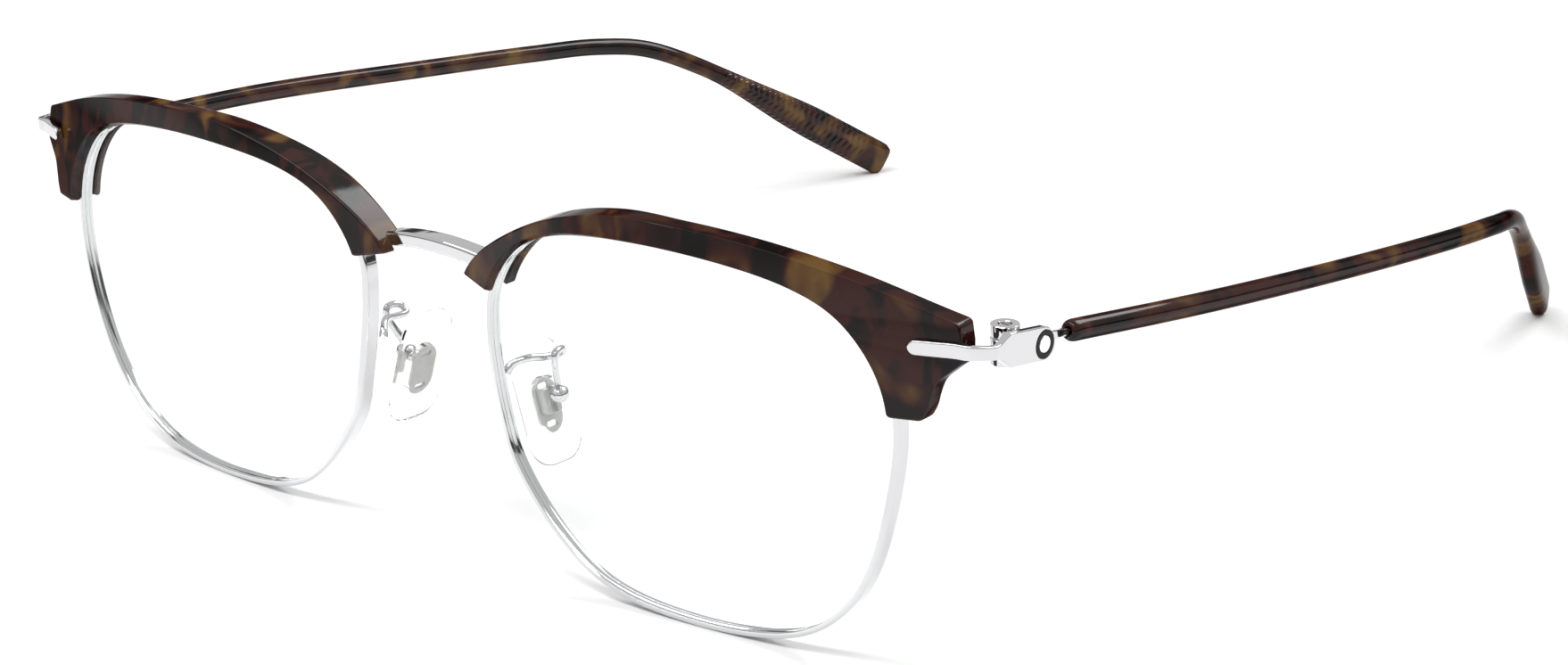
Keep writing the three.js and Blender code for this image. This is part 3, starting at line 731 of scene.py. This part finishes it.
def make_brows():
    inner = size("rim_wall") + FIT
    lines = [rim_line(d) for d in (inner, inner - size("brow_bevel"), -CHANNEL_WALL)]
    places = rim_place(-1, 6.9), rim_place(1, 3.05)
    outline = closing_ends(brow_outline())
    sections = np.array([brow_section(*row, places, lines) for row in outline])
    radii = [0.12, 0.28, 0.4, 0.4, 0.1, 0.1, 0.05, 0.08, 0.1]
    brow = tube(soften(on_eye(*np.moveaxis(sections, -1, 0)), radii, 4))
    brow = combine(brow, bridge_band(2 * FIT, BRIDGE_SLOT_HALF), "DIFFERENCE")
    brow = combine(brow, cube(*NOTCH), "DIFFERENCE")
    narrow, wide, seat = RIVET["hole"], RIVET["wide_hole"], RIVET["seat"]
    hole = [(0, -3), (narrow, -3), (narrow, seat), (wide, seat), (wide, 8), (0, 8)]
    brow = combine(brow, lathe(hole, "Y", rivet_place(), 32), "DIFFERENCE")
    both_sides(brow, "acetate_brow", "brow", FRONT, brow_acetate())


def rivet_place():
    """Where the rivet's axis meets the brow's front."""
    return on_eye(np.array(RIVET["u"]), np.array(RIVET["v"]), -FIT - size("brow_lip"))


def make_rivets():
    seat = RIVET["seat"]
    profile = [
        (0, 0.35), (0.4, 0.35), (0.5, 0.45), (0.5, seat + FIT), (0.92, seat + FIT), (1.0, seat + 0.2),
        (1.0, seat + 0.42), (0.9, seat + 0.6), (0.6, seat + 0.72), (0.3, seat + 0.77), (0, seat + 0.78),
    ]
    rivet = lathe(profile, "Y", rivet_place())
    both_sides(rivet, "back_rivet", "brow_rivet", FRONT, polished_metal())


def bridge_band(spare=0.0, half_span=BRIDGE_HALF):
    """The arched band, or its slot with spare room round it."""
    x = np.linspace(-half_span, half_span, 73)
    y, z = BRIDGE["y"] + BRIDGE["lean"] * x * x, BRIDGE["z"] - BRIDGE["sag"] * x * x
    section = block(BRIDGE["depth"] + spare, BRIDGE["height"] + spare, 0.28, 4)
    return tube(swept(np.stack([x, y, z], axis=1), section))


def make_bridge():
    bridge = round_caps(bridge_band())
    settle(bridge, "arched_bridge", "bridge", "front", polished_metal())


# ---- end pieces and hinges -----------------------------------------------------------------
def tilted(y):
    """Height of the hinge plate's middle, which falls towards its end."""
    return 10.4 - (y - 9.4) * PLATE_TILT


def strap_rings():
    """The bar on the brow's face, its turn round the corner and the hinge plate."""
    middle = -FIT - size("brow_lip") - FIT - BAR_THICK / 2
    height = size("bar_height")
    tip = 28.75

    def on_face(u, tall):
        return [*on_eye(np.array(u), np.array(10.8), middle), BAR_THICK, tall]

    ends = [math.radians(a) for a in (12, 28, 45, 62, 78, 90)]
    nose = [on_face(tip + height / 2 * (1 - math.cos(a)), height * math.sin(a)) for a in ends]
    x, plate_x = PLATE_X - BAR_THICK / 2, PLATE_X - PLATE_THICK / 2
    turn = [
        on_face(30.5, height), on_face(31.8, height), on_face(33.2, height),
        [70.8, 6.85, 10.75, BAR_THICK, 1.5], [71.7, 8.0, 10.6, BAR_THICK, 1.45],
        [x, 9.1, 10.45, BAR_THICK, 1.45], [x, 9.6, 10.4, BAR_THICK, 1.6],
    ]
    plate = [[plate_x, y, tilted(y), PLATE_THICK, PLATE_HEIGHT] for y in (11.4, 12.6, 14, PLATE_END_Y)]
    smooth = np.vstack([nose[:-1], curve(turn, share=7)])
    flare = curve([smooth[-1], plate[0]], share=8)[1:]
    for a in (math.radians(k) for k in range(8, 89, 8)):
        y = PLATE_END_Y + PLATE_HEIGHT / 2 * math.sin(a)
        plate.append([plate_x, y, tilted(y), PLATE_THICK, PLATE_HEIGHT * math.cos(a)])
    stations = np.vstack([smooth, flare, plate[1:]])
    step = np.gradient(stations[:, :2], axis=0)
    step /= np.linalg.norm(step, axis=1, keepdims=True)
    rings = []
    for (px, py, pz, thick, tall), (dx, dy) in zip(stations, step):
        flat = block(thick, tall, 0.18, 4)
        rings.append(np.stack([px + dy * flat[:, 0], py - dx * flat[:, 0], pz + flat[:, 1]], axis=1))
    return np.array(rings)


def level(third):
    """Height of the cuts between the three knuckles."""
    return HINGE["top"] - HINGE["height"] * third / 3


def knuckle(low, high):
    bore, radius = HINGE["bore"], HINGE["radius"]
    profile = bevelled([(bore, low), (radius, low), (radius, high), (bore, high)], 0.12)
    return lathe(profile, "Z", (HINGE["x"], HINGE["y"], 0), 48, loop=True)


def make_end_pieces():
    piece = tube(strap_rings())
    y, x = HINGE["y"], HINGE["x"] + 0.95
    webs = ((level(1) + KNUCKLE_GAP, level(0), 11.35), (level(3), level(2) - KNUCKLE_GAP, None))
    for low, high, web_top in webs:
        web_low, web_high = (low, web_top) if web_top else (8.25, high)
        web = cube((x, y - WEB_HALF, web_low), (PLATE_X - 0.4, y + WEB_HALF, web_high))
        piece = combine(piece, web, "UNION")
        piece = combine(piece, knuckle(low, high), "UNION")
    recess = DISC["radius"] + 0.05
    hole = [(0, -DISC["depth"]), (recess, -DISC["depth"]), (recess, 1), (0, 1)]
    piece = combine(piece, lathe(hole, "X", (PLATE_X, DISC["y"], DISC["z"]), 56), "DIFFERENCE")
    both_sides(piece, "wrapped_end_piece", "end_piece", FRONT, polished_metal())


def make_inlays():
    centre = (PLATE_X, DISC["y"], DISC["z"])
    low, stud = FIT - DISC["depth"], DISC["stud"]
    outer = DISC["radius"] - 0.02
    ring = bevelled([(stud + 0.03, low), (outer, low), (outer, 0.03), (stud + 0.03, 0.03)], 0.07)
    disc = lathe(ring, "X", centre, 56, loop=True)
    both_sides(disc, "inlay_disc", "plate_disc", FRONT, black_inlay())
    r = stud - 0.02
    dome = [
        (0, low), (r - 0.05, low), (r, low + 0.05), (r, 0.0), (r - 0.03, 0.04), (0.85 * r, 0.065),
        (0.6 * r, 0.085), (0.3 * r, 0.097), (0, 0.1),
    ]
    button = lathe(dome, "X", centre, 48)
    both_sides(button, "inlay_stud", "plate_stud", FRONT, bright_metal())


def make_screws():
    x, y, top = HINGE["x"], HINGE["y"], HINGE["top"] - 0.12
    r = HINGE["bore"] - 0.07
    low = level(3) + 0.15
    profile = [
        (0, low), (r - 0.08, low), (r, low + 0.08), (r, top - 0.12), (r - 0.04, top - 0.04),
        (r - 0.14, top), (0, top + 0.02),
    ]
    screw = lathe(profile, "Z", (x, y, 0), 40)
    slot = cube((x - 1, y - 0.12, top - 0.3), (x + 1, y + 0.12, top + 1))
    screw = combine(screw, slot, "DIFFERENCE")
    both_sides(screw, "slotted_screw", "hinge_screw", FRONT, satin_metal())


def rod_at(distance):
    """A point on the rod's straight front stretch, counted from its first point."""
    start, on = np.array(TEMPLE_LINE[0]), np.array(TEMPLE_LINE[1])
    return start + (on - start) / np.linalg.norm(on - start) * distance


def make_hinge_leaves():
    low, high = level(2) + KNUCKLE_GAP / 2, level(1) - KNUCKLE_GAP / 2
    stations = [
        (70.72, 14.5, (low + high) / 2, 0.9, high - low), (70.8, 15.6, 9.65, 0.9, high - low),
        (70.75, 18.5, 9.2, 0.9, 1.2), (70.4, 21, 8.75, 0.85, 1.0), (*rod_at(-1.4), 0.8, 0.85),
        (*rod_at(1), 0.8, 0.8), (*rod_at(CORE_DEPTH), 0.8, 0.8),
    ]
    line = curve(stations, share=8)
    sections = np.array([block(width, tall, 0.2, 4) for width, tall in line[:, 3:]])
    leaf = combine(tube(swept(line[:, :3], sections)), knuckle(low, high), "UNION")
    both_sides(leaf, "hinge_leaf", "temple_hinge", ARMS, polished_metal())


# ---- temples -------------------------------------------------------------------------------
def squircle(width, height, power, sides=40):
    """An ellipse at power 1, closer to a rounded rectangle as the power falls."""
    unit = circle(1, sides)
    return np.sign(unit) * np.abs(unit) ** power * (width / 2, height / 2)


def make_temples():
    radius = size("rod_radius")
    line = spaced(curve(TEMPLE_LINE), 180)
    run = np.linalg.norm(line - line[-1], axis=1)
    sections = []
    for (_, y, _), left in zip(line, run):
        flat = ease(y, PADDLE_START, PADDLE_FULL)
        closing = 0.84 + 0.16 * math.sqrt(1 - max(0, 1 - left / 1.3) ** 2)
        thick = mix(2 * radius, size("paddle_thick"), flat) * closing
        width = mix(2 * radius, size("paddle_width"), flat) * closing
        sections.append(squircle(thick, width, mix(1, 0.62, flat)))
    outer = swept(line, np.array(sections))
    deep = CORE_DEPTH + 0.3
    mouth = [(deep, 0.05), (deep, 0.5), (deep - 0.08, 0.56), (-0.22, 0.56), (-0.31, 0.6), (-0.35, 0.68),
             (-0.32, 0.79), (-0.22, 0.9), (-0.05, 1.0), (0.15, 1.06), (0.38, 1.09)]
    centres = np.array([rod_at(distance) for distance, _ in mouth])
    rims = np.array([circle(r / 1.1 * radius, 40) for _, r in mouth])
    ahead = rod_at(1) - rod_at(0)
    across = np.cross(ahead, (0, 0, 1))
    across /= np.linalg.norm(across)
    up = np.cross(across, ahead)
    inner = centres[:, None] + rims[..., :1] * across + rims[..., 1:] * up
    temple = round_caps(tube(np.concatenate([inner, outer[1:]])), ((0.12, 0.06), (0.2, 0.03)))
    both_sides(temple, "acetate_temple", "temple", ARMS, temple_acetate())


# ---- nose pads -----------------------------------------------------------------------------
def rounded_outline(height, width, corner, steps=9):
    """Outline of a pad or insert across y and z."""
    a, b = width / 2 - corner, height / 2 - corner
    points = []
    for y, z, start in ((a, b, 0), (-a, b, 90), (-a, -b, 180), (a, -b, 270)):
        for k in range(steps + 1):
            angle = math.radians(start + 90 * k / steps)
            points.append((y + corner * math.cos(angle), z + corner * math.sin(angle)))
    return np.array(points)


def insert_outline(spare=0.0):
    height, width = INSERT["height"] + 2 * spare, INSERT["width"] + 2 * spare
    return rounded_outline(height, width, width / 2 - 0.02) + (INSERT["y"], INSERT["z"])


def slab(levels, outline_at):
    """Rings of an outline at several depths, placed on the leaning pad."""
    rings = []
    for x, *shape in levels:
        flat = outline_at(*shape)
        rings.append(np.column_stack([np.full(len(flat), x), flat]))
    return tube(on_pad(np.array(rings)))


def make_pads():
    half = PAD["thick"] / 2
    corner = 2.7

    def outline(share, inset):
        height, width = PAD["height"] - 2 * inset, PAD["width"] - 2 * inset
        return share * rounded_outline(height, width, corner - inset)

    levels = [
        (-half, 0.03, 0.4), (-half, 0.3, 0.4), (-half + 0.005, 0.6, 0.4), (-half + 0.02, 0.85, 0.4),
        (-half + 0.05, 1, 0.5), (-half + 0.14, 1, 0.26), (-half + 0.3, 1, 0.09), (-half + 0.5, 1, 0.01),
        (0, 1, 0), (half - 0.5, 1, 0.01), (half - 0.3, 1, 0.08), (half - 0.13, 1, 0.24),
        (half - 0.03, 1, 0.45), (half, 1, 0.7), (half, 0.6, 0.7), (half, 0.03, 0.7),
    ]
    pad = slab(levels, outline)
    pocket = slab([(INSERT["low"] - FIT,), (2,)], lambda: insert_outline(FIT))
    pad = combine(pad, pocket, "DIFFERENCE")
    both_sides(pad, "soft_pad", "nose_pad", PADS, clear_pad())


def make_inserts():
    low, thick = INSERT["low"], INSERT["thick"]
    levels = [(low, -0.08), (low + 0.06, 0), (low + thick - 0.06, 0), (low + thick, -0.08)]
    plate = slab(levels, insert_outline)
    clip = slab([(low + 0.2, 0.0), (1.2, 0.0), (1.3, 0.1)],
                lambda inset: rounded_outline(2.9 - 2 * inset, 2.3 - 2 * inset, 0.3 - inset))
    insert = combine(plate, clip, "UNION")
    groove = slab([(0.75, 0), (2, 0)], lambda _: rounded_outline(4, 0.9, 0.1))
    insert = combine(insert, groove, "DIFFERENCE")
    for end in (-1, 1):
        def vent(_, z=INSERT["z"] + end * 2.15):
            return rounded_outline(0.7, 1.7, 0.3) + (INSERT["y"], z)
        insert = combine(insert, slab([(low - 1, 0), (low + 1, 0)], vent), "DIFFERENCE")
    both_sides(insert, "clip_insert", "pad_insert", PADS, grey_insert())


def make_pad_arms():
    stem = on_pad((BALL["x"] + 0.1, 0, BALL["z"] + 0.8))
    line = spaced(curve([*ARM_LINE, stem]), 150)
    radius = size("wire_radius")
    swell = np.interp(np.arange(151), [0, 6, 14, 118, 132, 150], [1.25, 1.2, 1, 1, 1.1, 1.1]) * radius
    press = np.interp(np.arange(151), [0, 112, 128, 150], [1, 1, 0.75, 0.75])
    sections = np.array([circle(1, 20) * (s, s * p) for s, p in zip(swell, press)])
    arm = tube(swept(line, sections, upright=False))
    bpy.ops.object.select_all(action="DESELECT")
    bpy.ops.mesh.primitive_uv_sphere_add(segments=40, ring_count=20, radius=BALL["radius"] * MM)
    ball = bpy.context.object
    bpy.ops.object.mode_set(mode="EDIT")
    bpy.ops.transform.resize(value=(0.9, 1, 0.85), center_override=(0, 0, 0))
    place = (on_pad((BALL["x"], 0, BALL["z"])) + (0, FRONT_Y, EYE_Z)) * MM
    bpy.ops.transform.translate(value=tuple(place))
    bpy.ops.object.mode_set(mode="OBJECT")
    arm = combine(arm, ball, "UNION")
    both_sides(arm, "wire_pad_arm", "pad_arm", FRONT, polished_metal(), 50)


# ---- the stage -----------------------------------------------------------------------------
CAMERA = {"azimuth": 40.399, "elevation": 18.638, "roll": -0.995, "distance": 394.91,
          "lens": 83.14, "right": 40.27, "up": 0.2155}


def standing(right, up, back, at):
    """The placement of a camera or lamp from its axes."""
    return Matrix([*np.column_stack([right, up, back, at]).tolist(), [0, 0, 0, 1]])


def add_camera():
    """The camera looks at the glasses from their front left."""
    a, e = math.radians(CAMERA["azimuth"]), math.radians(CAMERA["elevation"])
    roll = math.radians(CAMERA["roll"])
    back = np.array([math.sin(a) * math.cos(e), -math.cos(a) * math.cos(e), math.sin(e)])
    right = np.array([math.cos(a), math.sin(a), 0])
    up = np.cross(back, right)
    right, up = (math.cos(roll) * right + math.sin(roll) * up,
                 math.cos(roll) * up - math.sin(roll) * right)
    at = back * CAMERA["distance"] + right * CAMERA["right"] + up * CAMERA["up"] + (0, FRONT_Y, EYE_Z)
    data = bpy.data.cameras.new("camera")
    data.lens, data.sensor_width = CAMERA["lens"], 36
    data.clip_start, data.clip_end = 0.01, 20
    camera = bpy.data.objects.new("camera", data)
    bpy.context.scene.collection.objects.link(camera)
    camera.matrix_world = standing(right, up, back, at * MM)
    bpy.context.scene.camera = camera


def add_softbox(name, place, target, width, height, power):
    data = bpy.data.lights.new(name, "AREA")
    data.shape, data.size, data.size_y, data.energy = "RECTANGLE", width, height, power
    light = bpy.data.objects.new(name, data)
    bpy.context.scene.collection.objects.link(light)
    back = np.array(place) - np.array(target)
    back /= np.linalg.norm(back)
    right = np.cross((0, 0, 1), back)
    right /= np.linalg.norm(right)
    light.matrix_world = standing(right, np.cross(back, right), back, place)


HORIZON = ((0.02, 0.95), (0.04, 0.06), (0.15, 0.06), (0.2, 0.95))


def add_surround():
    """A pale surround with a dark strip along the horizon."""
    world = bpy.data.worlds.new("surround")
    bpy.context.scene.world = world
    world.use_nodes = True
    tree = world.node_tree
    where = tree.nodes.new("ShaderNodeTexCoord").outputs["Generated"]
    apart = tree.nodes.new("ShaderNodeSeparateXYZ")
    ramp = tree.nodes.new("ShaderNodeValToRGB")
    tree.links.new(where, apart.inputs[0])
    tree.links.new(apart.outputs["Z"], ramp.inputs[0])
    tree.links.new(ramp.outputs[0], tree.nodes["Background"].inputs[0])
    stops = ramp.color_ramp.elements
    stops[0].color = stops[1].color = (1, 1, 1, 1)
    for position, grey in HORIZON:
        stops.new(position).color = (grey, grey, grey, 1)
    tree.nodes["Background"].inputs[1].default_value = 0.68


def make_stage():
    floor_z = min(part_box(node)[0].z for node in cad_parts)
    bpy.ops.object.select_all(action="DESELECT")
    bpy.ops.mesh.primitive_plane_add(size=6, location=(0, 0, floor_z))
    floor = bpy.context.object
    floor.name = "floor"
    floor.data.materials.append(pale_floor())
    add_camera()
    add_surround()
    add_softbox("rear_overhead", (0.22, 0.72, 0.88), (0, 0, 0), 0.68, 0.42, 5.6)
    add_softbox("front_overhead", (-0.12, -0.42, 0.87), (-0.12, 0, 0.03), 1.05, 0.24, 6)
    bpy.context.scene.view_settings.view_transform = "Standard"


# ---- operators -----------------------------------------------------------------------------
class BROWLINE_OT_rims(bpy.types.Operator):
    """Add the two metal rims"""
    bl_idname = "browline.rims"
    bl_label = "Rims"

    def execute(self, context):
        make_rims()
        return {"FINISHED"}


class BROWLINE_OT_lenses(bpy.types.Operator):
    """Add the two clear lenses"""
    bl_idname = "browline.lenses"
    bl_label = "Lenses"

    def execute(self, context):
        make_lenses()
        return {"FINISHED"}


class BROWLINE_OT_brows(bpy.types.Operator):
    """Add the two acetate brows and the rivets behind them"""
    bl_idname = "browline.brows"
    bl_label = "Brows"

    def execute(self, context):
        make_brows()
        make_rivets()
        return {"FINISHED"}


class BROWLINE_OT_bridge(bpy.types.Operator):
    """Add the arched metal bridge"""
    bl_idname = "browline.bridge"
    bl_label = "Bridge"

    def execute(self, context):
        make_bridge()
        return {"FINISHED"}


class BROWLINE_OT_hinges(bpy.types.Operator):
    """Add the end pieces, their inlays, the hinge leaves and the screws"""
    bl_idname = "browline.hinges"
    bl_label = "End pieces and hinges"

    def execute(self, context):
        make_end_pieces()
        make_inlays()
        make_screws()
        make_hinge_leaves()
        return {"FINISHED"}


class BROWLINE_OT_temples(bpy.types.Operator):
    """Add the two acetate temples"""
    bl_idname = "browline.temples"
    bl_label = "Temples"

    def execute(self, context):
        make_temples()
        return {"FINISHED"}


class BROWLINE_OT_pads(bpy.types.Operator):
    """Add the nose pads with their inserts and wire arms"""
    bl_idname = "browline.pads"
    bl_label = "Nose pads"

    def execute(self, context):
        make_pads()
        make_inserts()
        make_pad_arms()
        return {"FINISHED"}


class BROWLINE_OT_stage(bpy.types.Operator):
    """Add the floor, the lights and the camera"""
    bl_idname = "browline.stage"
    bl_label = "Stage"

    def execute(self, context):
        make_stage()
        return {"FINISHED"}


OPERATORS = (
    BROWLINE_OT_rims, BROWLINE_OT_lenses, BROWLINE_OT_brows, BROWLINE_OT_bridge, BROWLINE_OT_hinges,
    BROWLINE_OT_temples, BROWLINE_OT_pads, BROWLINE_OT_stage,
)


class BROWLINE_PT_panel(bpy.types.Panel):
    """Lists the pieces of the eyeglasses"""
    bl_idname = "BROWLINE_PT_panel"
    bl_label = "Eyeglasses"
    bl_space_type = "VIEW_3D"
    bl_region_type = "UI"
    bl_category = "Eyeglasses"

    def draw(self, context):
        for operator in OPERATORS:
            self.layout.operator(operator.bl_idname)
        for group in (context.scene.browline_sizes, context.scene.browline_colours):
            for name in group.__annotations__:
                self.layout.prop(group, name)


CLASSES = (BrowlineSizes, BrowlineColours, *OPERATORS, BROWLINE_PT_panel)


def register():
    for cls in CLASSES:
        bpy.utils.register_class(cls)
    bpy.types.Scene.browline_sizes = bpy.props.PointerProperty(type=BrowlineSizes)
    bpy.types.Scene.browline_colours = bpy.props.PointerProperty(type=BrowlineColours)


def unregister():
    del bpy.types.Scene.browline_colours
    del bpy.types.Scene.browline_sizes
    for cls in reversed(CLASSES):
        bpy.utils.unregister_class(cls)


def main():
    register()
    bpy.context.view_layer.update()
    for operator in OPERATORS:
        group, name = operator.bl_idname.split(".")
        getattr(getattr(bpy.ops, group), name)()


if __name__ == "__main__":
    main()
